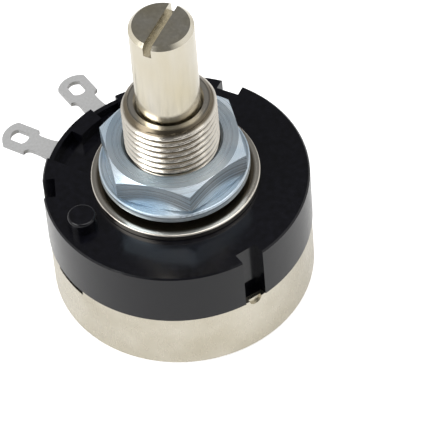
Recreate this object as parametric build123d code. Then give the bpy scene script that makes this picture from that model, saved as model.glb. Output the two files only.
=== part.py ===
from build123d import *
import os
from math import cos, radians, sin, sqrt

# Panel potentiometer with a 6 mm shaft, an M9 bushing and three solder lugs, in mm.
# The origin is the centre of the rear cover's back face, on the shaft axis, and +Z
# runs out along the shaft. Angles are in degrees, counter-clockwise from +X seen from
# the shaft's end.

# Rear cover: a drawn steel can.
cover_diameter = 24.8
cover_height = 6.65
cover_wall = 0.4
cover_edge_radius = 0.45
stake_radius = 0.65
stake_depth = 0.25
rim_notch_angle = 209.0
rim_notch_width = 4.0
rim_notch_depth = 0.7

# Housing: one phenolic moulding that carries everything else.
housing_diameter = 25.0
housing_height = 6.05
housing_edge_chamfer = 0.15
cavity_radius = 10.6
ceiling_thickness = 2.95
spigot_clearance = 0.05
side_slot_angles = (60.0, 180.0, 300.0)
side_slot_width = 2.2
side_slot_depth = 1.2
slot_pocket_width = 1.6
slot_pocket_height = 1.5
slot_pocket_depth = 0.3
boss_diameter = 2.7
boss_height = 1.4
boss_offset = 10.2
boss_angle = 208.0
boss_edge_radius = 0.25

# Terminals: three equal stamped lugs, spread about the middle one.
terminal_angle = 120.0
terminal_pitch = 26.5
terminal_thickness = 0.5
lug_width = 3.0
lug_straight = 2.3
lug_tip_radius = 2.1
lug_neck_width = 1.9
lug_root_width = 2.8
lug_hole_diameter = 1.8
lug_hole_across_flats = 1.4
lug_hole_offset = 17.3
lug_hole_to_corner = 1.0
lug_neck_length = 1.1
lug_root_offset = 12.9
lug_inner_end = 8.9
terminal_slot_clearance = 0.06

# The housing's recess over the terminals, with the rim and the two teeth left round it.
recess_depth = 2.35
recess_side_offset = 3.4
recess_inner_clearance = 0.3
recess_gap_half_angle = 6.4
rim_height = 1.45
sill_height = 0.85
rim_thickness = 0.45
tooth_end_angle = 21.0
tooth_thickness = 1.6

# Rotation: the shaft stands turned clockwise from the middle of its travel.
travel_half = 150.0
rest_turn = -60.0
stop_block_half_angle = 21.5
stop_end_gap = 0.5
stop_overlap = 0.3
stop_block_depth = 1.1

# Bushing: turned brass, nickel plated, swaged into the housing.
flange_radius = 7.92
flange_thickness = 0.7
flange_edge_radius = 0.15
seat_radius = 5.7
seat_height = 0.95
thread_radius = 4.43
bushing_height = 10.0
bushing_top_ring_radius = 3.8
bushing_chamfer_height = 0.55
bushing_spigot_radius = 4.6
swage_radius = 5.4
swage_thickness = 0.5
shaft_running_clearance = 0.04

# Washer and nut on the bushing's thread.
thread_clearance = 0.04
washer_radius = 7.05
washer_thickness = 0.75
washer_hole_clearance = 0.15
washer_edge_radius = 0.2
nut_across_flats = 12.3
nut_thickness = 3.0
nut_chamfer_angle = 30.0
nut_chamfer_radius = 6.15
nut_corner_angle = 38.5
nut_countersink_radius = 4.75
nut_countersink_angle = 45.0

# Shaft: one turned piece.
shaft_radius = 3.0
shaft_length_from_flange = 20.1
shaft_chamfer = 0.35
slot_width = 0.8
slot_depth = 1.3
shaft_drive_radius = 2.4
shaft_drive_flat = 1.9
shaft_tail_radius = 1.6
shaft_end_gap = 0.3
ring_groove_radius = 2.35
grease_groove_radius = 2.75
grease_groove_length = 1.2
grease_groove_rise = 0.12

# Retaining ring and thrust washer under the bushing.
thrust_thickness = 0.3
thrust_radius = 4.3
axial_play = 0.05
ring_thickness = 0.4
ring_radius = 4.2
ring_mouth_width = 3.6
ring_groove_clearance = 0.02

# Resistance element: a laminate wafer with its printed track and pads.
wafer_inner_radius = 6.7
wafer_edge_clearance = 0.15
wafer_thickness = 0.8
print_thickness = 0.06
track_inner_radius = 7.2
track_outer_radius = 8.85
pad_inner_half_angle = 16.0
pad_outer_half_angle = 30.0
pad_outer_radius = 10.2
rivet_offset = 9.65
rivet_shank_radius = 0.5
rivet_head_radius = 0.9
rivet_head_thickness = 0.2
rivet_ceiling_gap = 0.05
collector_inner_radius = 4.9
collector_outer_radius = 6.3
collector_thickness = 0.3
collector_tail_width = 2.4

# Rotor: a moulded disc on a hub, and the spring that wipes the track.
hub_radius = 4.2
hub_top_gap = 0.3
hub_tail = 3.0
disc_radius = 9.0
disc_thickness = 1.3
wiper_room = 1.49
ear_half_angle = 180.0 - travel_half - stop_block_half_angle - stop_end_gap
ear_reach_gap = 0.3
drive_clearance = 0.02
peg_radius = 0.5
peg_height = 0.45
peg_offset = 6.6
peg_back = 4.5
spring_thickness = 0.25
spring_inner_clearance = 0.3
spring_base_front = 3.0
spring_base_back = 6.0
spring_rim_gap = 0.2
finger_width = 1.0
finger_land = 0.35
finger_lift = 0.35
finger_nose = 0.9
contact_gap = 0.05
peg_clearance = 0.03

# Heights that several pieces share.
seam_z = cover_height
front_z = seam_z + housing_height
ceiling_z = front_z - ceiling_thickness
flange_top_z = front_z + flange_thickness
seat_top_z = flange_top_z + seat_height
bushing_top_z = flange_top_z + bushing_height
washer_top_z = seat_top_z + washer_thickness
nut_top_z = washer_top_z + nut_thickness
shaft_tip_z = flange_top_z + shaft_length_from_flange
terminal_top_z = ceiling_z - rivet_head_thickness - rivet_ceiling_gap
terminal_underside = terminal_top_z - terminal_thickness
wafer_underside = terminal_underside - wafer_thickness
print_underside = wafer_underside - print_thickness
collector_underside = wafer_underside - collector_thickness
bushing_bottom_z = ceiling_z - swage_thickness
thrust_underside = bushing_bottom_z - axial_play - thrust_thickness
ring_underside = thrust_underside - axial_play - ring_thickness
hub_top_z = ring_underside - hub_top_gap
disc_top_z = print_underside - wiper_room
disc_underside = disc_top_z - disc_thickness
hub_bottom = disc_underside - hub_tail
stop_block_top_z = disc_top_z + stop_overlap
spigot_bottom_z = disc_underside - stop_overlap
rotor_angle = terminal_angle + 180.0 + rest_turn


def disc(radius, z_low, z_high):
    """A solid cylinder on the shaft axis between two heights."""
    return Pos(0, 0, z_low) * Cylinder(radius, z_high - z_low, align=(Align.CENTER, Align.CENTER, Align.MIN))


def ring(inner, outer, z_low, z_high):
    """A flat ring on the shaft axis between two heights."""
    return disc(outer, z_low, z_high) - disc(inner, z_low, z_high)


def polar(radius, angle):
    """The point in plan at a radius and an angle in degrees."""
    return (radius * cos(radians(angle)), radius * sin(radians(angle)))


def sector(inner, outer, middle, half_angle, z_low, z_high):
    """A piece of a flat ring, between middle - half_angle and middle + half_angle."""
    start = middle - half_angle
    end = middle + half_angle
    outline = Line(polar(inner, start), polar(outer, start))
    outline += ThreePointArc(polar(outer, start), polar(outer, middle), polar(outer, end))
    outline += Line(polar(outer, end), polar(inner, end))
    outline += ThreePointArc(polar(inner, end), polar(inner, middle), polar(inner, start))
    return Pos(0, 0, z_low) * extrude(make_face(outline), amount=z_high - z_low)


def radial_box(angle, start, length, width, z_low, z_high):
    """A box that lies along a radius, centred on it."""
    block = Box(length, width, z_high - z_low, align=(Align.MIN, Align.CENTER, Align.MIN))
    return Rot(0, 0, angle) * Pos(start, 0, z_low) * block


def turned(profile):
    """A solid of revolution about the shaft axis from (radius, height) corners."""
    return revolve(Plane.XZ * make_face(Polyline(*profile, close=True)), Axis.Z)


def terminal_angles():
    """The angle of each terminal, by the side it lies on."""
    return {
        "left": terminal_angle + terminal_pitch,
        "middle": terminal_angle,
        "right": terminal_angle - terminal_pitch,
    }


def stake(angle, extra):
    """The round punch mark that locks the cover's rim into the housing, grown by extra."""
    reach = cover_diameter / 2 - stake_depth - extra
    punch = Cylinder(stake_radius + extra, cover_diameter, align=(Align.CENTER, Align.CENTER, Align.MIN))
    return Rot(0, 0, angle) * Pos(reach, 0, seam_z) * Rot(0, 90, 0) * punch


def make_rear_cover():
    """A drawn can, open toward the shaft, with three stakes and a notch in its rim."""
    outer_radius = cover_diameter / 2
    shell = disc(outer_radius, 0, cover_height)
    shell = fillet(shell.edges().group_by(Axis.Z)[0], cover_edge_radius)
    shell -= disc(outer_radius - cover_wall, cover_wall, cover_height)
    for angle in side_slot_angles:
        inward = stake(angle, cover_wall) - stake(angle, 0)
        bump = inward & ring(outer_radius - cover_wall - stake_depth, outer_radius, 0, cover_height)
        shell = (shell + bump) - stake(angle, 0)
    notch = radial_box(rim_notch_angle, outer_radius - 2 * cover_wall, outer_radius, rim_notch_width,
                       cover_height - rim_notch_depth, cover_height)
    return shell - notch


def make_recess():
    """The space over the terminals, cut from the housing's front."""
    far = housing_diameter
    side = terminal_pitch
    apex = -recess_side_offset / sin(radians(side))
    spread = (apex + far * cos(radians(side)), far * sin(radians(side)))
    wedge = make_face(Polyline((apex, 0), (spread[0], spread[1]), (far, spread[1]),
                               (far, -spread[1]), (spread[0], -spread[1]), close=True))
    floor_z = front_z - recess_depth
    space = Rot(0, 0, terminal_angle) * Pos(0, 0, floor_z) * extrude(wedge, amount=recess_depth)
    space -= disc(flange_radius + recess_inner_clearance, floor_z, front_z)
    outer = housing_diameter / 2
    space -= sector(outer - rim_thickness, housing_diameter, terminal_angle, recess_gap_half_angle,
                    floor_z, floor_z + sill_height)
    tooth_middle = (recess_gap_half_angle + tooth_end_angle) / 2
    for side in (-1, 1):
        space -= sector(outer - tooth_thickness, housing_diameter, terminal_angle + side * tooth_middle,
                        tooth_middle - recess_gap_half_angle, floor_z, floor_z + rim_height)
        space -= sector(outer - rim_thickness, housing_diameter, terminal_angle + side * 2 * tooth_end_angle,
                        tooth_end_angle + rim_thickness, floor_z, floor_z + rim_height)
    return space


def make_housing():
    """The moulded body: front wall, side wall, spigot, stop block and all its openings."""
    outer = housing_diameter / 2
    spigot_radius = cover_diameter / 2 - cover_wall - spigot_clearance
    body = disc(outer, seam_z, front_z)
    body = chamfer(body.edges().group_by(Axis.Z)[-1], housing_edge_chamfer)
    body += disc(spigot_radius, spigot_bottom_z, seam_z)
    body -= disc(cavity_radius, spigot_bottom_z, ceiling_z)
    body += sector(cavity_radius - stop_block_depth, cavity_radius + spigot_clearance, terminal_angle,
                   stop_block_half_angle, spigot_bottom_z, stop_block_top_z)
    body -= disc(bushing_spigot_radius, ceiling_z, front_z)
    body -= make_recess()
    for angle in side_slot_angles:
        body -= radial_box(angle, outer - side_slot_depth, outer, side_slot_width, seam_z, front_z)
        pocket_floor = outer - side_slot_depth - slot_pocket_depth
        body -= radial_box(angle, pocket_floor, outer, slot_pocket_width, seam_z, seam_z + slot_pocket_height)
        body -= stake(angle, cover_wall + spigot_clearance) & disc(spigot_radius, spigot_bottom_z, seam_z)
    for angle in terminal_angles().values():
        opening = lug_width + 2 * terminal_slot_clearance
        body -= radial_box(angle, cavity_radius - lug_width, outer, opening,
                           terminal_underside - terminal_slot_clearance,
                           terminal_top_z + terminal_slot_clearance)
    boss = Cylinder(boss_diameter / 2, boss_height, align=(Align.CENTER, Align.CENTER, Align.MIN))
    boss = fillet(boss.edges().group_by(Axis.Z)[-1], boss_edge_radius)
    body += Pos(*polar(boss_offset, boss_angle), front_z) * boss
    return body


def make_bushing():
    """Flange, seat, threaded barrel and the spigot swaged under the housing's front wall."""
    bore = shaft_radius + shaft_running_clearance
    profile = [
        (bore, bushing_bottom_z),
        (swage_radius, bushing_bottom_z),
        (swage_radius, ceiling_z),
        (bushing_spigot_radius, ceiling_z),
        (bushing_spigot_radius, front_z),
        (flange_radius, front_z),
        (flange_radius, flange_top_z),
        (seat_radius, flange_top_z),
        (seat_radius, seat_top_z),
        (thread_radius, seat_top_z),
        (thread_radius, bushing_top_z - bushing_chamfer_height),
        (bushing_top_ring_radius, bushing_top_z),
        (bore, bushing_top_z),
    ]
    body = turned(profile)
    rim = [edge for edge in body.edges().filter_by(GeomType.CIRCLE)
           if abs(edge.radius - flange_radius) < 0.01 and edge.center().Z > front_z]
    return fillet(rim, flange_edge_radius)


def make_shaft():
    """The shaft with its screwdriver slot, two grooves, two drive flats and rear tip."""
    groove_end = bushing_top_z + grease_groove_rise
    groove_start = groove_end - grease_groove_length
    profile = [
        (0, cover_wall + shaft_end_gap),
        (shaft_tail_radius, cover_wall + shaft_end_gap),
        (shaft_tail_radius, hub_bottom),
        (shaft_drive_radius, hub_bottom),
        (shaft_drive_radius, hub_top_z),
        (shaft_radius, hub_top_z),
        (shaft_radius, ring_underside - ring_groove_clearance),
        (ring_groove_radius, ring_underside - ring_groove_clearance),
        (ring_groove_radius, ring_underside + ring_thickness + ring_groove_clearance),
        (shaft_radius, ring_underside + ring_thickness + ring_groove_clearance),
        (shaft_radius, groove_start),
        (grease_groove_radius, groove_start),
        (grease_groove_radius, groove_end),
        (shaft_radius, groove_end),
        (shaft_radius, shaft_tip_z - shaft_chamfer),
        (shaft_radius - shaft_chamfer, shaft_tip_z),
        (0, shaft_tip_z),
    ]
    body = turned(profile)
    slot = Box(4 * shaft_radius, slot_width, slot_depth, align=(Align.CENTER, Align.CENTER, Align.MAX))
    body -= Rot(0, 0, rotor_angle) * Pos(0, 0, shaft_tip_z) * slot
    for turn in (90, 270):
        body -= radial_box(rotor_angle + turn, shaft_drive_flat, shaft_radius, 2 * shaft_radius,
                           hub_bottom, hub_top_z)
    return body


def make_thrust_washer():
    """The thin washer between the bushing and the retaining ring."""
    inner = shaft_radius + shaft_running_clearance
    return ring(inner, thrust_radius, thrust_underside, thrust_underside + thrust_thickness)


def make_retaining_ring():
    """The open ring in the shaft's groove."""
    inner = ring_groove_radius + ring_groove_clearance
    body = ring(inner, ring_radius, ring_underside, ring_underside + ring_thickness)
    return body - radial_box(rotor_angle, 0, ring_radius, ring_mouth_width,
                             ring_underside, ring_underside + ring_thickness)


def make_rotor():
    """Hub, disc, stop ear and the two pegs that hold the wiper spring."""
    body = disc(hub_radius, hub_bottom, hub_top_z)
    body += disc(disc_radius, disc_underside, disc_top_z)
    ear_radius = cavity_radius - ear_reach_gap
    body += sector(hub_radius, ear_radius, rotor_angle, ear_half_angle, disc_underside, disc_top_z)
    for x, y in peg_points():
        peg = Cylinder(peg_radius, peg_height, align=(Align.CENTER, Align.CENTER, Align.MIN))
        body += Rot(0, 0, rotor_angle) * Pos(x, y, disc_top_z) * peg
    bore = disc(shaft_drive_radius + drive_clearance, hub_bottom, hub_top_z)
    for turn in (90, 270):
        bore -= radial_box(rotor_angle + turn, shaft_drive_flat + drive_clearance, shaft_radius,
                           2 * shaft_radius, hub_bottom, hub_top_z)
    return body - bore


def peg_points():
    """The pegs' places, with x along the wiper's radius and y across it."""
    return ((peg_offset - 2 * peg_radius, -peg_back), (peg_offset + 2 * peg_radius, -peg_back))


def make_finger(offset, contact_z):
    """One sprung finger of the wiper, from the base plate up to its contact height."""
    low = disc_top_z
    start = -spring_base_front - spring_thickness
    profile = Polyline(
        (start, low),
        (start, low + spring_thickness),
        (-finger_land, contact_z),
        (finger_land, contact_z),
        (finger_nose, contact_z - finger_lift),
        (finger_nose - spring_thickness / 2, contact_z - finger_lift - spring_thickness),
        (finger_land, contact_z - spring_thickness),
        (-finger_land, contact_z - spring_thickness),
        (-spring_base_front, low),
        close=True)
    blade = extrude(Plane.YZ * make_face(profile), amount=finger_width)
    return Pos(offset - finger_width / 2, 0, 0) * blade


def make_wiper_spring():
    """The stamped spring that joins the collector ring to the track."""
    depth = spring_base_back - spring_base_front
    plate = Box(disc_radius, depth, spring_thickness, align=(Align.MIN, Align.MAX, Align.MIN))
    base = Pos(0, -spring_base_front, disc_top_z) * plate
    base &= ring(hub_radius + spring_inner_clearance, disc_radius - spring_rim_gap,
                 disc_top_z, disc_top_z + spring_thickness)
    for x, y in peg_points():
        hole = Cylinder(peg_radius + peg_clearance, spring_thickness,
                        align=(Align.CENTER, Align.CENTER, Align.MIN))
        base -= Pos(x, y, disc_top_z) * hole
    ring_middle = (collector_inner_radius + collector_outer_radius) / 2
    track_middle = (track_inner_radius + track_outer_radius) / 2
    base += make_finger(ring_middle, collector_underside - contact_gap)
    base += make_finger(track_middle, print_underside - contact_gap)
    return Rot(0, 0, rotor_angle) * base


def rivet_hole(angle, z_low, z_high):
    """The hole that a terminal's rivet fills."""
    hole = Cylinder(rivet_shank_radius, z_high - z_low, align=(Align.CENTER, Align.CENTER, Align.MIN))
    return Pos(*polar(rivet_offset, angle), z_low) * hole


def make_element_wafer():
    """The laminate ring that carries the track, drilled for the three rivets."""
    body = ring(wafer_inner_radius, cavity_radius - wafer_edge_clearance, wafer_underside, terminal_underside)
    for angle in terminal_angles().values():
        body -= rivet_hole(angle, wafer_underside, terminal_underside)
    return body


def make_carbon_track():
    """The horseshoe of resistance paint, open at the terminals."""
    opposite = terminal_angle + 180.0
    return sector(track_inner_radius, track_outer_radius, opposite, 180.0 - pad_outer_half_angle,
                  print_underside, wafer_underside)


def make_silver_pads():
    """The two silvered ends of the track, each under its terminal's rivet."""
    middle = (pad_inner_half_angle + pad_outer_half_angle) / 2
    half = (pad_outer_half_angle - pad_inner_half_angle) / 2
    pads = []
    for side in (-1, 1):
        angle = terminal_angle + side * middle
        pad = sector(track_inner_radius, pad_outer_radius, angle, half, print_underside, wafer_underside)
        pads.append(pad - rivet_hole(terminal_angle + side * terminal_pitch, print_underside, wafer_underside))
    return Compound(children=pads)


def make_collector_ring():
    """The stamped ring that the inner finger runs on, with its tail to the middle rivet."""
    tail = radial_box(terminal_angle, collector_outer_radius - spring_thickness,
                      rivet_offset + rivet_head_radius - collector_outer_radius,
                      collector_tail_width, collector_underside, wafer_underside)
    body = ring(collector_inner_radius, collector_outer_radius, collector_underside, wafer_underside) + tail
    return body - rivet_hole(terminal_angle, collector_underside, wafer_underside)


def make_rivet(angle, head_top):
    """A rivet through terminal and wafer, its lower head under the layer that ends at head_top."""
    shank = rivet_hole(angle, head_top, terminal_top_z)
    head = Cylinder(rivet_head_radius, rivet_head_thickness, align=(Align.CENTER, Align.CENTER, Align.MIN))
    place = polar(rivet_offset, angle)
    return shank + Pos(*place, terminal_top_z) * head + Pos(*place, head_top - rivet_head_thickness) * head


def lug_outline():
    """The lug's outline in its own plane: x along the lug, y across it."""
    corner = lug_hole_offset + lug_hole_to_corner
    half = lug_width / 2
    tip = corner + lug_tip_radius - sqrt(lug_tip_radius ** 2 - half ** 2)
    shoulder = corner - lug_straight
    neck = lug_neck_width / 2
    root = lug_root_width / 2
    waist = shoulder - lug_neck_length
    outline = ThreePointArc((corner, -half), (tip, 0), (corner, half))
    for side in (1, -1):
        outline += Line((corner, side * half), (shoulder, side * half))
        outline += ThreePointArc((shoulder, side * half),
                                 (shoulder - 0.29 * (half - neck), side * (neck + 0.29 * (half - neck))),
                                 (shoulder - (half - neck), side * neck))
        outline += Line((shoulder - (half - neck), side * neck), (waist, side * neck))
        outline += TangentArc((waist, side * neck), (lug_root_offset, side * root), tangent=(-1, 0))
        outline += Line((lug_root_offset, side * root), (lug_inner_end, side * root))
    outline += Line((lug_inner_end, root), (lug_inner_end, -root))
    return outline


def make_terminal(angle):
    """A stamped solder lug, from its rivet inside the housing to its eye outside."""
    blank = extrude(make_face(lug_outline()), amount=terminal_thickness)
    eye = Cylinder(lug_hole_diameter / 2, terminal_thickness, align=(Align.CENTER, Align.CENTER, Align.MIN))
    eye &= Box(lug_hole_diameter, lug_hole_across_flats, terminal_thickness,
               align=(Align.CENTER, Align.CENTER, Align.MIN))
    blank -= Pos(lug_hole_offset, 0, 0) * eye
    placed = Rot(0, 0, angle) * Pos(0, 0, terminal_underside) * blank
    return placed - rivet_hole(angle, terminal_underside, terminal_top_z)


def make_flat_washer():
    """The plain washer, with its upper rim rounded by the blanking press."""
    hole = thread_radius + washer_hole_clearance
    body = ring(hole, washer_radius, seat_top_z, washer_top_z)
    rim = [edge for edge in body.edges().filter_by(GeomType.CIRCLE)
           if abs(edge.radius - washer_radius) < 0.01 and edge.center().Z > seat_top_z + 0.1]
    return fillet(rim, washer_edge_radius)


def make_hex_nut():
    """The hexagon nut, with both faces turned off at the corners and a countersunk hole."""
    corner_radius = nut_across_flats / sqrt(3)
    slope = sin(radians(nut_chamfer_angle)) / cos(radians(nut_chamfer_angle))
    drop = (corner_radius - nut_chamfer_radius) * slope
    hexagon = Rot(0, 0, nut_corner_angle) * RegularPolygon(corner_radius, 6)
    body = Pos(0, 0, washer_top_z) * extrude(hexagon, amount=nut_thickness)
    envelope = turned([
        (0, washer_top_z),
        (nut_chamfer_radius, washer_top_z),
        (corner_radius, washer_top_z + drop),
        (corner_radius, nut_top_z - drop),
        (nut_chamfer_radius, nut_top_z),
        (0, nut_top_z),
    ])
    hole = thread_radius + thread_clearance
    sink = (nut_countersink_radius - hole) / (sin(radians(nut_countersink_angle)) / cos(radians(nut_countersink_angle)))
    opening = turned([
        (0, washer_top_z),
        (nut_countersink_radius, washer_top_z),
        (hole, washer_top_z + sink),
        (hole, nut_top_z - sink),
        (nut_countersink_radius, nut_top_z),
        (0, nut_top_z),
    ])
    return (body & envelope) - opening


def make_nodes():
    """Every sub-part by its node's name."""
    nodes = {
        "rear_cover": make_rear_cover(),
        "housing": make_housing(),
        "bushing": make_bushing(),
        "shaft": make_shaft(),
        "thrust_washer": make_thrust_washer(),
        "retaining_ring": make_retaining_ring(),
        "rotor": make_rotor(),
        "wiper_spring": make_wiper_spring(),
        "element_wafer": make_element_wafer(),
        "carbon_track": make_carbon_track(),
        "silver_pads": make_silver_pads(),
        "collector_ring": make_collector_ring(),
        "flat_washer": make_flat_washer(),
        "hex_nut": make_hex_nut(),
    }
    for side, angle in terminal_angles().items():
        head_top = collector_underside if side == "middle" else print_underside
        nodes["terminal_" + side] = make_terminal(angle)
        nodes["rivet_" + side] = make_rivet(angle, head_top)
    return nodes


os.makedirs("parts", exist_ok=True)
for name, solid in make_nodes().items():
    export_step(solid, "parts/" + name + ".step")
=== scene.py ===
from math import cos, radians, sin, tan

import bpy
import numpy as np
from mathutils import Matrix, Vector


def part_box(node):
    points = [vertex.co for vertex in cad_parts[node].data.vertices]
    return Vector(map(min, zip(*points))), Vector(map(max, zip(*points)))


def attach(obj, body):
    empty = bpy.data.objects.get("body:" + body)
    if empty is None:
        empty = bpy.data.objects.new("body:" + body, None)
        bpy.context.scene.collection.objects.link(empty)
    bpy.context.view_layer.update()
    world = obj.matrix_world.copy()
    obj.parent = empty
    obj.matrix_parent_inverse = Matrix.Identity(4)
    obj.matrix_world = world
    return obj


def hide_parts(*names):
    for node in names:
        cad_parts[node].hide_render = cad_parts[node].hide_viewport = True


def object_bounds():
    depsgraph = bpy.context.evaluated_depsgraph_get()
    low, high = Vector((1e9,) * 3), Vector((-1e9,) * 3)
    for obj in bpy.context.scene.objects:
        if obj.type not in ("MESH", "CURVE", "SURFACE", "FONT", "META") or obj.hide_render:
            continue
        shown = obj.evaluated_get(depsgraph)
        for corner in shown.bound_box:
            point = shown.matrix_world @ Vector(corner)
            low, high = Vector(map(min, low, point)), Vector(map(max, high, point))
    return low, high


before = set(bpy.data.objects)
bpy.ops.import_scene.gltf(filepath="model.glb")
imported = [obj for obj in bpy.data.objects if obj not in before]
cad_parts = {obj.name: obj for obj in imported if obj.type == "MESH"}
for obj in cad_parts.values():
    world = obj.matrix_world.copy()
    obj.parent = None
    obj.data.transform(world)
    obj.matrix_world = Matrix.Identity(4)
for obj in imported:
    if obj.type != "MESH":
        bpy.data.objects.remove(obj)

cad_low, cad_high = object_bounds()

# The rear cover: a can drawn from thin steel sheet and plated in satin nickel. Drawing
# leaves faint upright streaks on its wall, and the plate is a little uneven in tone.
MM = 0.001
FINE_DETAIL = 3.0
NOISE_MIDDLE = (0.3, 0.7)
COVER_NICKEL_LIGHT = "#D2CCBD"
COVER_NICKEL_DARK = "#C3BCAA"
COVER_STREAK_WIDTH = 0.5 * MM
COVER_STREAK_STRETCH = 0.3
COVER_TONE_SIZE = 4.0 * MM
COVER_ROUGHNESS = (0.24, 0.32)
COVER_RELIEF = 0.0025 * MM


def linear(hex_colour):
    """An sRGB hex colour as linear RGBA.

    Each channel c becomes c / 12.92 up to 0.04045, and ((c + 0.055) / 1.055) ** 2.4 above it.
    """
    channels = np.array([int(hex_colour[i:i + 2], 16) for i in (1, 3, 5)]) / 255
    bent = ((channels + 0.055) / 1.055) ** 2.4
    return (*np.where(channels <= 0.04045, channels / 12.92, bent), 1.0)


def add(tree, kind, inputs=(), **properties):
    """Adds one node, sets its properties, and sets or links each input by its name."""
    node = tree.nodes.new("ShaderNode" + kind)
    for name, value in properties.items():
        setattr(node, name, value)
    for name, value in dict(inputs).items():
        if isinstance(value, bpy.types.NodeSocket):
            tree.links.new(value, node.inputs[name])
        else:
            node.inputs[name].default_value = value
    return node


def new_material(name):
    """An empty node material, its tree, and its Object coordinates."""
    material = bpy.data.materials.new(name)
    material.use_nodes = True
    material.node_tree.nodes.clear()
    place = add(material.node_tree, "TexCoord").outputs["Object"]
    return material, material.node_tree, place


def noise(tree, place, size, detail=2.0, stretch=(1, 1, 1)):
    """Noise from 0 to 1 with features of a size in metres; stretch under 1 draws them out along an axis."""
    moved = add(tree, "Mapping", {"Vector": place, "Scale": stretch}).outputs["Vector"]
    return add(tree, "TexNoise", {"Vector": moved, "Scale": 1 / size, "Detail": detail}).outputs["Fac"]


def turning_marks(tree, place, spacing):
    """Rings from a lathe tool, on faces and barrels alike: 1-D noise over radius + height."""
    flat = add(tree, "VectorMath", {0: place, 1: (1, 1, 0)}, operation="MULTIPLY").outputs["Vector"]
    radius = add(tree, "VectorMath", {0: flat}, operation="LENGTH").outputs["Value"]
    height = add(tree, "SeparateXYZ", {"Vector": place}).outputs["Z"]
    travel = add(tree, "Math", {0: radius, 1: height}, operation="ADD").outputs["Value"]
    rings = add(tree, "TexNoise", {"W": travel, "Scale": 1 / spacing, "Detail": 2.0}, noise_dimensions="1D")
    return rings.outputs["Fac"]


def between(tree, factor, low, high):
    """A number that runs from low to high as the factor runs over the middle of its range."""
    start, end = NOISE_MIDDLE
    spread = add(tree, "MapRange", {"Value": factor, "From Min": start, "From Max": end,
                                    "To Min": low, "To Max": high})
    return spread.outputs["Result"]


def blend_colours(tree, factor, first, second):
    """One hex colour turning into another over the middle of the factor's range."""
    share = between(tree, factor, 0.0, 1.0)
    mixed = add(tree, "MixRGB", {"Fac": share, "Color1": linear(first), "Color2": linear(second)})
    return mixed.outputs["Color"]


def relief(tree, height, depth):
    """A bump normal whose highest and lowest points are a depth in metres apart."""
    return add(tree, "Bump", {"Height": height, "Strength": 1.0, "Distance": depth}).outputs["Normal"]


def finish_surface(tree, **inputs):
    """The Principled shader with these inputs, on the material's output."""
    named = {name.replace("_", " "): value for name, value in inputs.items()}
    shader = add(tree, "BsdfPrincipled", named).outputs["BSDF"]
    add(tree, "OutputMaterial", {"Surface": shader})


def dress(node, material):
    """Gives a CAD node this material in every slot."""
    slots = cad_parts[node].data.materials
    for index in range(len(slots)):
        slots[index] = material
    if not slots:
        slots.append(material)


def satin_nickel_on_drawn_steel():
    """Warm, soft-edged reflections broken by short upright drawing streaks about 0.5 mm wide."""
    material, tree, place = new_material("satin_nickel_on_drawn_steel")
    streaks = noise(tree, place, COVER_STREAK_WIDTH, FINE_DETAIL, (1, 1, COVER_STREAK_STRETCH))
    tone = noise(tree, place, COVER_TONE_SIZE)
    finish_surface(tree, Metallic=1.0,
                   Base_Color=blend_colours(tree, tone, COVER_NICKEL_LIGHT, COVER_NICKEL_DARK),
                   Roughness=between(tree, streaks, *COVER_ROUGHNESS),
                   Normal=relief(tree, streaks, COVER_RELIEF))
    return material


dress("rear_cover", satin_nickel_on_drawn_steel())

# The housing: one compression moulding in black phenolic, which carries everything
# else. A polished mould gives it a hard gloss, with faint scuffs and moulding ripple.
PHENOLIC_BLACK = "#08080C"
PHENOLIC_SCUFFED = "#0F0F16"
PHENOLIC_RIPPLE_SIZE = 2.2 * MM
PHENOLIC_RIPPLE_DETAIL = 1.0
PHENOLIC_RIPPLE_RELIEF = 0.012 * MM
PHENOLIC_SCUFF_SIZE = 0.6 * MM
PHENOLIC_SCUFF_DETAIL = 4.0
PHENOLIC_SCUFF_SQUEEZE = 2.5
PHENOLIC_ROUGHNESS = (0.13, 0.22)
PHENOLIC_IOR = 1.39


def black_moulded_phenolic():
    """Near-black gloss with a soft ripple 2 mm across and patches dulled by handling."""
    material, tree, place = new_material("black_moulded_phenolic")
    ripple = noise(tree, place, PHENOLIC_RIPPLE_SIZE, PHENOLIC_RIPPLE_DETAIL)
    squeeze = (1, 1, PHENOLIC_SCUFF_SQUEEZE)
    scuffs = noise(tree, place, PHENOLIC_SCUFF_SIZE, PHENOLIC_SCUFF_DETAIL, squeeze)
    finish_surface(tree, Metallic=0.0, IOR=PHENOLIC_IOR,
                   Base_Color=blend_colours(tree, scuffs, PHENOLIC_BLACK, PHENOLIC_SCUFFED),
                   Roughness=between(tree, scuffs, *PHENOLIC_ROUGHNESS),
                   Normal=relief(tree, ripple, PHENOLIC_RIPPLE_RELIEF))
    return material


dress("housing", black_moulded_phenolic())

# The element wafer and its prints: punched phenolic paper laminate, with a horseshoe of
# carbon ink and silver ink on its ends. The ink is screened on and baked.
LAMINATE_LIGHT = "#8A5A30"
LAMINATE_DARK = "#6B4222"
PAPER_FIBRE = 0.3 * MM
PAPER_DETAIL = 4.0
PAPER_FIBRE_STRETCH = 0.3
PAPER_ROUGHNESS = (0.5, 0.65)
PAPER_RELIEF = 0.005 * MM
CARBON_INK = "#1A1A1B"
CARBON_RUBBED = "#2C2B2B"
SILVER_INK_LIGHT = "#D2D1CB"
SILVER_INK_DARK = "#B3B1A9"
INK_GRAIN = 0.15 * MM
INK_ROUGHNESS = (0.35, 0.5)


def phenolic_paper_laminate():
    """Matt brown board with paper fibres showing in it."""
    material, tree, place = new_material("phenolic_paper_laminate")
    fibres = noise(tree, place, PAPER_FIBRE, PAPER_DETAIL, (1, PAPER_FIBRE_STRETCH, 1))
    finish_surface(tree, Roughness=between(tree, fibres, *PAPER_ROUGHNESS),
                   Base_Color=blend_colours(tree, fibres, LAMINATE_LIGHT, LAMINATE_DARK),
                   Normal=relief(tree, fibres, PAPER_RELIEF))
    return material


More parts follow.
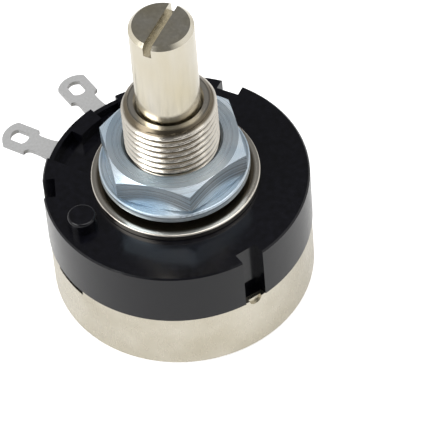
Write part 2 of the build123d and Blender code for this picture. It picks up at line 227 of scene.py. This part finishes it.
def screened_ink(name, light, dark, metallic):
    """A printed film with a fine grain, metallic for silver and not for carbon."""
    material, tree, place = new_material(name)
    grain = noise(tree, place, INK_GRAIN, FINE_DETAIL)
    finish_surface(tree, Metallic=metallic, Roughness=between(tree, grain, *INK_ROUGHNESS),
                   Base_Color=blend_colours(tree, grain, light, dark))
    return material


dress("element_wafer", phenolic_paper_laminate())
dress("carbon_track", screened_ink("baked_carbon_ink", CARBON_INK, CARBON_RUBBED, 0.0))
dress("silver_pads", screened_ink("baked_silver_ink", SILVER_INK_LIGHT, SILVER_INK_DARK, 1.0))

# The terminals: three lugs stamped from brass strip and tinned in a matt bath. They go
# out through the housing's wall and are riveted to the wafer with brass rivets.
MATT_TIN_LIGHT = "#C4C4C4"
MATT_TIN_DARK = "#BABAB9"
TIN_GRAIN = 0.25 * MM
TIN_METALLIC = 0.35
TIN_ROUGHNESS = (0.5, 0.62)
TIN_RELIEF = 0.003 * MM
METAL_ROUGHNESS_SPREAD = 0.1
RIVET_BRASS_LIGHT = "#D8B978"
RIVET_BRASS_DARK = "#B8965A"
RIVET_ROUGHNESS = 0.2
RIVET_TONE_SIZE = 0.8 * MM
SIDES = ("left", "middle", "right")


def matt_tinned_brass():
    """Pale grey, almost without reflections, with the bath's fine grain."""
    material, tree, place = new_material("matt_tinned_brass")
    grain = noise(tree, place, TIN_GRAIN, FINE_DETAIL)
    finish_surface(tree, Metallic=TIN_METALLIC, Roughness=between(tree, grain, *TIN_ROUGHNESS),
                   Base_Color=blend_colours(tree, grain, MATT_TIN_LIGHT, MATT_TIN_DARK),
                   Normal=relief(tree, grain, TIN_RELIEF))
    return material


def bright_metal(name, light, dark, roughness, tone_size):
    """A plain bright metal whose tone drifts between two colours over tone_size."""
    material, tree, place = new_material(name)
    tone = noise(tree, place, tone_size)
    dullest = roughness + METAL_ROUGHNESS_SPREAD
    finish_surface(tree, Metallic=1.0, Roughness=between(tree, tone, roughness, dullest),
                   Base_Color=blend_colours(tree, tone, light, dark))
    return material


lug_finish = matt_tinned_brass()
rivet_finish = bright_metal("headed_brass_rivet", RIVET_BRASS_LIGHT, RIVET_BRASS_DARK,
                            RIVET_ROUGHNESS, RIVET_TONE_SIZE)
for side in SIDES:
    dress("terminal_" + side, lug_finish)
    dress("rivet_" + side, rivet_finish)

# The wiper's metalwork: collector ring and wiper spring are stamped from phosphor
# bronze, the retaining ring and thrust washer from spring steel kept lightly oiled.
BRONZE_LIGHT = "#D9A86C"
BRONZE_DARK = "#B9874E"
BRONZE_ROUGHNESS = 0.22
BRONZE_TONE_SIZE = 1.5 * MM
SPRING_STEEL_LIGHT = "#8E9093"
SPRING_STEEL_DARK = "#6F7175"
SPRING_STEEL_ROUGHNESS = 0.3
SPRING_STEEL_TONE_SIZE = 1.0 * MM

bronze_finish = bright_metal("stamped_phosphor_bronze", BRONZE_LIGHT, BRONZE_DARK,
                             BRONZE_ROUGHNESS, BRONZE_TONE_SIZE)
steel_finish = bright_metal("oiled_spring_steel", SPRING_STEEL_LIGHT, SPRING_STEEL_DARK,
                            SPRING_STEEL_ROUGHNESS, SPRING_STEEL_TONE_SIZE)
dress("collector_ring", bronze_finish)
dress("wiper_spring", bronze_finish)
dress("retaining_ring", steel_finish)
dress("thrust_washer", steel_finish)

# The rotor: a disc moulded in unfilled resin that carries the wiper and the stop ear.
# It is matt, with the mould's fine spark texture.
RESIN_LIGHT = "#CFC4AC"
RESIN_DARK = "#BFB398"
SPARK_TEXTURE = 0.2 * MM
RESIN_ROUGHNESS = (0.45, 0.6)
RESIN_RELIEF = 0.004 * MM


def natural_moulded_resin():
    """Matt cream plastic with a spark-eroded grain."""
    material, tree, place = new_material("natural_moulded_resin")
    grain = noise(tree, place, SPARK_TEXTURE, FINE_DETAIL)
    finish_surface(tree, Roughness=between(tree, grain, *RESIN_ROUGHNESS),
                   Base_Color=blend_colours(tree, grain, RESIN_LIGHT, RESIN_DARK),
                   Normal=relief(tree, grain, RESIN_RELIEF))
    return material


dress("rotor", natural_moulded_resin())

# The bushing: one piece of turned brass, bright nickel plated, with a flange, a seat and
# an M9 x 0.75 thread rolled on its barrel. Its foot is swaged under the housing's front.
PLATED_NICKEL_LIGHT = "#D6D0C5"
# The dark olive colour below is painted shade: it darkens the thread's roots and a ring on the flange under
# the washer.
BUSHING_PAINTED_SHADE = "#6B6253"
SHADE_RING_RADIUS = 6.2 * MM
SHADE_RING_HALF_WIDTH = 0.9 * MM
SHADE_RING_FADED = 1.6
BUSHING_RING_SPACING = 0.12 * MM
BUSHING_ROUGHNESS = (0.14, 0.26)
BUSHING_RELIEF = 0.0015 * MM
THREAD_PITCH = 0.75 * MM
THREAD_DEPTH = 0.46 * MM
THREAD_CREST_FLAT = 0.12
THREAD_ROOT_FLAT = 0.16
THREAD_ROWS_PER_PITCH = 24
BUSHING_COLUMNS = 180
BUSHING_EDGE_ROUND = 0.15 * MM
BUSHING_BORE_GAP = 0.04 * MM
BUSHING_BORE_CHAMFER = 0.22 * MM
BUSHING_TOP_CHAMFER = 0.55 * MM
BUSHING_TOP_LAND = 3.8 * MM
THREAD_RADIUS = 4.43 * MM
SEAT_RADIUS = 5.7 * MM
SPIGOT_RADIUS = 4.6 * MM
SWAGE_RADIUS = 5.4 * MM
SWAGE_THICKNESS = 0.5 * MM
FLANGE_THICKNESS = 0.7 * MM
BOSS_HEIGHT = 1.4 * MM


def rounded_corner(corner, before, after, radius, steps=5):
    """Points on the arc of a radius that replaces a right-angled corner between two unit directions."""
    corner, before, after = (np.array(v, float) for v in (corner, before, after))
    centre = corner - radius * before + radius * after
    turn = np.linspace(0, np.pi / 2, steps)[:, None]
    return centre - radius * after * np.cos(turn) + radius * before * np.sin(turn)


def thread_radius(angle, height):
    """Radius of a right-hand thread, a trapezium of crest, flank and root.

    Its phase is height / pitch - angle / full turn, and each side falls from crest to root.
    """
    phase = np.mod(height / THREAD_PITCH - angle / (2 * np.pi), 1.0)
    from_crest = np.abs(phase - 0.5) * 2
    start = THREAD_CREST_FLAT
    end = 1 - THREAD_ROOT_FLAT
    fall = np.clip((from_crest - start) / (end - start), 0, 1)
    return THREAD_RADIUS - THREAD_DEPTH * fall


def closed_ring_mesh(name, radius, height, angle):
    """A closed outline carried round the axis: rows follow the outline, columns the angle."""
    rows, columns = radius.shape
    points = np.stack([radius * np.cos(angle), radius * np.sin(angle), height], axis=-1).reshape(-1, 3)
    row, column = np.meshgrid(np.arange(rows), np.arange(columns), indexing="ij")
    next_row = (row + 1) % rows
    next_column = (column + 1) % columns
    corners = [row * columns + column, row * columns + next_column,
               next_row * columns + next_column, next_row * columns + column]
    faces = np.stack(corners, axis=-1).reshape(-1, 4)
    mesh = bpy.data.meshes.new(name)
    mesh.from_pydata(points.tolist(), [], faces.tolist())
    mesh.update()
    return mesh


def show(name, mesh, material, body, slot, *replaced, sharp=35):
    """Links a new piece, smooth but for edges past the sharp angle, and ties it to the frame."""
    mesh.materials.append(material)
    mesh.shade_smooth()
    mesh.set_sharp_from_angle(angle=radians(sharp))
    piece = bpy.data.objects.new(name, mesh)
    bpy.context.scene.collection.objects.link(piece)
    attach(piece, body)
    if replaced:
        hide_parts(*replaced)
    return piece


def bushing_outline():
    """The bushing's outline as (radius, height) points, counter-clockwise, and which are thread."""
    low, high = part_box("bushing")
    seat_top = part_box("flat_washer")[0].z
    flange = high.x
    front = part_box("housing")[1].z - BOSS_HEIGHT
    flange_top = front + FLANGE_THICKNESS
    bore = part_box("shaft")[1].x + BUSHING_BORE_GAP
    ceiling = low.z + SWAGE_THICKNESS
    rows = int((high.z - BUSHING_TOP_CHAMFER - seat_top) / THREAD_PITCH * THREAD_ROWS_PER_PITCH)
    barrel = np.linspace(seat_top, high.z, rows)
    inward, up = (-1, 0), (0, 1)
    parts = [
        [(bore, low.z), (SWAGE_RADIUS, low.z), (SWAGE_RADIUS, ceiling), (SPIGOT_RADIUS, ceiling),
         (SPIGOT_RADIUS, front), (flange - BUSHING_EDGE_ROUND, front),
         (flange, front + BUSHING_EDGE_ROUND / 2)],
        rounded_corner((flange, flange_top), up, inward, BUSHING_EDGE_ROUND),
        [(SEAT_RADIUS, flange_top)],
        rounded_corner((SEAT_RADIUS, seat_top), up, inward, BUSHING_EDGE_ROUND / 2, 3),
    ]
    thread_start = sum(len(part) for part in parts)
    parts.append(np.stack([np.full(rows, THREAD_RADIUS), barrel], axis=1))
    thread_end = thread_start + rows
    parts.append([(BUSHING_TOP_LAND, high.z), (bore + BUSHING_BORE_CHAMFER, high.z),
                  (bore, high.z - BUSHING_BORE_CHAMFER)])
    return np.concatenate([np.array(part, float) for part in parts]), slice(thread_start, thread_end)


outline, threaded = bushing_outline()
turn = np.linspace(0, 2 * np.pi, BUSHING_COLUMNS, endpoint=False)[None, :]
radius = np.repeat(outline[:, :1], BUSHING_COLUMNS, axis=1)
height = np.repeat(outline[:, 1:], BUSHING_COLUMNS, axis=1)
top = outline[:, 1].max()
cone_slope = (THREAD_RADIUS - BUSHING_TOP_LAND) / BUSHING_TOP_CHAMFER
cone = BUSHING_TOP_LAND + (top - height[threaded]) * cone_slope
radius[threaded] = np.minimum(thread_radius(turn, height[threaded]), cone)


def near_radius(tree, reach, radius, solid, faded):
    """1 where reach is within solid of a radius, falling to 0 where it is faded away from it."""
    away = add(tree, "Math", {0: reach, 1: radius}, operation="SUBTRACT").outputs["Value"]
    distance = add(tree, "Math", {0: away}, operation="ABSOLUTE").outputs["Value"]
    return add(tree, "MapRange", {"Value": distance, "From Min": solid, "From Max": faded,
                                  "To Min": 1.0, "To Max": 0.0}).outputs["Result"]


def bright_nickel_on_turned_brass():
    """Sharp reflections, lathe rings, and painted shade in the thread's roots and on the flange under the
    washer.
    """
    material, tree, place = new_material("bright_nickel_on_turned_brass")
    rings = turning_marks(tree, place, BUSHING_RING_SPACING)
    across = add(tree, "VectorMath", {0: place, 1: (1, 1, 0)}, operation="MULTIPLY").outputs["Vector"]
    reach = add(tree, "VectorMath", {0: across}, operation="LENGTH").outputs["Value"]
    # Painted shade: darker towards the thread's roots, and in a ring round the seat where the washer shades
    # the flange.
    root_shade = near_radius(tree, reach, THREAD_RADIUS - THREAD_DEPTH, 0.0, THREAD_DEPTH)
    under_washer_shade = near_radius(tree, reach, SHADE_RING_RADIUS, SHADE_RING_HALF_WIDTH,
                               SHADE_RING_FADED * SHADE_RING_HALF_WIDTH)
    painted_shade = add(tree, "Math", {0: root_shade, 1: under_washer_shade}, operation="MAXIMUM").outputs["Value"]
    finish_surface(tree, Metallic=1.0, Roughness=between(tree, rings, *BUSHING_ROUGHNESS),
                   Base_Color=blend_colours(tree, painted_shade, PLATED_NICKEL_LIGHT, BUSHING_PAINTED_SHADE),
                   Normal=relief(tree, rings, BUSHING_RELIEF))
    return material


show("threaded_bushing", closed_ring_mesh("threaded_bushing", radius, height, turn),
     bright_nickel_on_turned_brass(), "case", "nickel_brass", "bushing")

# The shaft: drawn steel bar, nickel plated, with a sawn screwdriver slot in its end. The
# drawing die leaves faint streaks along it, and the plate is yellower in long patches.
SHAFT_STREAK = 0.3 * MM
SHAFT_TONE_SIZE = 2.5 * MM
SHAFT_NICKEL_LIGHT = "#DAD5C9"
SHAFT_NICKEL_DARK = "#CFC6AE"
SHAFT_STREAK_STRETCH = 0.1
SHAFT_TONE_STRETCH = 0.3
SHAFT_ROUGHNESS = (0.16, 0.26)
SHAFT_RELIEF = 0.002 * MM


def satin_nickel_on_drawn_bar():
    """Soft warm reflections over streaks along the bar, a little yellower in patches."""
    material, tree, place = new_material("satin_nickel_on_drawn_bar")
    streaks = noise(tree, place, SHAFT_STREAK, FINE_DETAIL, (1, 1, SHAFT_STREAK_STRETCH))
    tone = noise(tree, place, SHAFT_TONE_SIZE, stretch=(1, 1, SHAFT_TONE_STRETCH))
    finish_surface(tree, Metallic=1.0, Roughness=between(tree, streaks, *SHAFT_ROUGHNESS),
                   Base_Color=blend_colours(tree, tone, SHAFT_NICKEL_LIGHT, SHAFT_NICKEL_DARK),
                   Normal=relief(tree, streaks, SHAFT_RELIEF))
    return material


dress("shaft", satin_nickel_on_drawn_bar())

# The washer and the nut: steel, zinc plated and passivated blue. The nut's faces are
# turned, the washer is blanked and tumbled, and the passivation drifts in tint.
ZINC_BLUE = "#AFC2D1"
ZINC_PALE = "#D6DEE3"
ZINC_RING_SPACING = 0.22 * MM
ZINC_TINT_SIZE = 3.5 * MM
ZINC_METALLIC = 0.7
ZINC_ROUGHNESS = (0.22, 0.36)
ZINC_RELIEF = 0.0025 * MM


def blue_passivated_zinc():
    """Cool grey-blue metal whose tint drifts over a few millimetres, with turning rings 0.22 mm apart."""
    material, tree, place = new_material("blue_passivated_zinc")
    rings = turning_marks(tree, place, ZINC_RING_SPACING)
    tint = noise(tree, place, ZINC_TINT_SIZE)
    finish_surface(tree, Metallic=ZINC_METALLIC, Roughness=between(tree, rings, *ZINC_ROUGHNESS),
                   Base_Color=blend_colours(tree, tint, ZINC_BLUE, ZINC_PALE),
                   Normal=relief(tree, rings, ZINC_RELIEF))
    return material


zinc_finish = blue_passivated_zinc()
dress("flat_washer", zinc_finish)
dress("hex_nut", zinc_finish)

# The table: a plain white sheet. It shows white to the camera and in the metal, and
# still takes the part's own soft shadow.
TABLE_HALF_SIZE = 3.0
TABLE_DROP = 0.01 * MM
TABLE_WHITE = 0.85
TABLE_GLOW_TO_CAMERA = 0.72
TABLE_GLOW_IN_METAL = 0.3


def white_table():
    """Diffuse white, plus a glow that only the camera and reflections see."""
    material, tree, _ = new_material("white_table_paper")
    path = add(tree, "LightPath")
    camera_glow = add(tree, "Math", {0: path.outputs["Is Camera Ray"], 1: TABLE_GLOW_TO_CAMERA},
                      operation="MULTIPLY")
    seen = add(tree, "Math", {0: path.outputs["Is Glossy Ray"], 1: path.outputs["Is Transmission Ray"]},
               operation="MAXIMUM")
    metal_glow = add(tree, "Math", {0: seen.outputs["Value"], 1: TABLE_GLOW_IN_METAL},
                     operation="MULTIPLY")
    glow = add(tree, "Math", {0: camera_glow.outputs["Value"], 1: metal_glow.outputs["Value"]},
               operation="ADD")
    light = add(tree, "Emission", {"Strength": glow.outputs["Value"]}).outputs["Emission"]
    paper = add(tree, "BsdfDiffuse", {"Color": (TABLE_WHITE, TABLE_WHITE, TABLE_WHITE, 1)}).outputs["BSDF"]
    both = add(tree, "AddShader", {0: light, 1: paper}).outputs["Shader"]
    add(tree, "OutputMaterial", {"Surface": both})
    return material


table_mesh = bpy.data.meshes.new("table")
table_z = cad_low[2] - TABLE_DROP
signs = ((-1, -1), (1, -1), (1, 1), (-1, 1))
corners = [(x * TABLE_HALF_SIZE, y * TABLE_HALF_SIZE, table_z) for x, y in signs]
table_mesh.from_pydata(corners, [], [(0, 1, 2, 3)])
table_mesh.materials.append(white_table())
table = bpy.data.objects.new("table", table_mesh)
bpy.context.scene.collection.objects.link(table)

# The room: bright walls at both sides, pale at the horizon and dim overhead, so that
# faces that look up stay darker than the walls below them.
ROOM_AMBIENT = 0.5
ROOM_HORIZON = 0.95
ROOM_OVERHEAD = 0.25
ROOM_SIDES = 1.25
ROOM_HORIZON_SPAN = (0.05, 0.4)
ROOM_SIDES_SPAN = (0.3, 0.75)

world = bpy.data.worlds.new("room")
bpy.context.scene.world = world
world.use_nodes = True
world.node_tree.nodes.clear()
tree = world.node_tree
direction = add(tree, "TexCoord").outputs["Generated"]
heading = add(tree, "SeparateXYZ", {"Vector": direction}).outputs
sideways = add(tree, "Math", {0: heading["X"]}, operation="ABSOLUTE").outputs["Value"]
horizon = add(tree, "MapRange", {"Value": heading["Z"],
                                 "From Min": ROOM_HORIZON_SPAN[0], "From Max": ROOM_HORIZON_SPAN[1],
                                 "To Min": ROOM_HORIZON, "To Max": ROOM_OVERHEAD}).outputs["Result"]
sides = add(tree, "MapRange", {"Value": sideways,
                               "From Min": ROOM_SIDES_SPAN[0], "From Max": ROOM_SIDES_SPAN[1],
                               "To Min": ROOM_OVERHEAD, "To Max": ROOM_SIDES}).outputs["Result"]
sky = add(tree, "Math", {0: sides, 1: horizon}, operation="MAXIMUM").outputs["Value"]
path = add(tree, "LightPath")
lit = add(tree, "Mix", {"Factor": path.outputs["Is Glossy Ray"],
                        "A": ROOM_AMBIENT, "B": sky}).outputs["Result"]
seen = add(tree, "Math", {0: path.outputs["Is Camera Ray"], 1: path.outputs["Is Transmission Ray"]},
           operation="MAXIMUM").outputs["Value"]
level = add(tree, "Mix", {"Factor": seen, "A": lit, "B": 1.0}).outputs["Result"]
background = add(tree, "Background", {"Strength": level}).outputs["Background"]
add(tree, "OutputWorld", {"Surface": background})


# The lamps: two square soft boxes, one high on the left and one nearly overhead.
# Each is a place and a side in metres, and a power in watts.
LAMPS = {"lamp_left": ((-0.32, -0.12, 0.42), 0.3, 1.2),
         "lamp_overhead": ((0.12, 0.05, 0.55), 0.35, 1.1)}


def soft_lamp(name, place, size, power):
    """A square area lamp at a place, turned to face the part."""
    lamp = bpy.data.lights.new(name, "AREA")
    lamp.shape = "SQUARE"
    lamp.size = size
    lamp.energy = power
    holder = bpy.data.objects.new(name, lamp)
    holder.location = place
    holder.rotation_euler = (-Vector(place)).to_track_quat("-Z", "Y").to_euler()
    bpy.context.scene.collection.objects.link(holder)


for lamp_name, (lamp_place, lamp_size, lamp_power) in LAMPS.items():
    soft_lamp(lamp_name, lamp_place, lamp_size, lamp_power)

# The camera: a long lens, high in front of the part and slightly turned, aimed a
# little to the right of and below the centre of the housing's front.
CAMERA_ELEVATION = radians(49.45)
CAMERA_DISTANCE = 0.3748
CAMERA_ROLL = radians(5.78)
CAMERA_PAN = radians(0.627)
CAMERA_TILT = radians(0.557)
CAMERA_LENS = 329.3
CAMERA_SENSOR = 36
CAMERA_CLIP = (0.01, 20)

aim = Vector((0, 0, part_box("housing")[1].z - BOSS_HEIGHT))
forward = Vector((0, cos(CAMERA_ELEVATION), -sin(CAMERA_ELEVATION)))
down = Vector((0, -sin(CAMERA_ELEVATION), -cos(CAMERA_ELEVATION)))
across = Vector((1, 0, 0))
right = cos(CAMERA_ROLL) * across + sin(CAMERA_ROLL) * down
low = -sin(CAMERA_ROLL) * across + cos(CAMERA_ROLL) * down
ahead = (forward + tan(CAMERA_PAN) * right + tan(CAMERA_TILT) * low).normalized()
right = (right - right.dot(ahead) * ahead).normalized()
up = -ahead.cross(right)
camera = bpy.data.objects.new("camera", bpy.data.cameras.new("camera"))
camera.data.lens = CAMERA_LENS
camera.data.sensor_width = CAMERA_SENSOR
camera.data.clip_start, camera.data.clip_end = CAMERA_CLIP
turned = Matrix((right, up, -ahead)).transposed().to_4x4()
camera.matrix_world = Matrix.Translation(aim - CAMERA_DISTANCE * forward) @ turned
bpy.context.scene.collection.objects.link(camera)
bpy.context.scene.camera = camera
bpy.context.scene.view_settings.view_transform = "Standard"
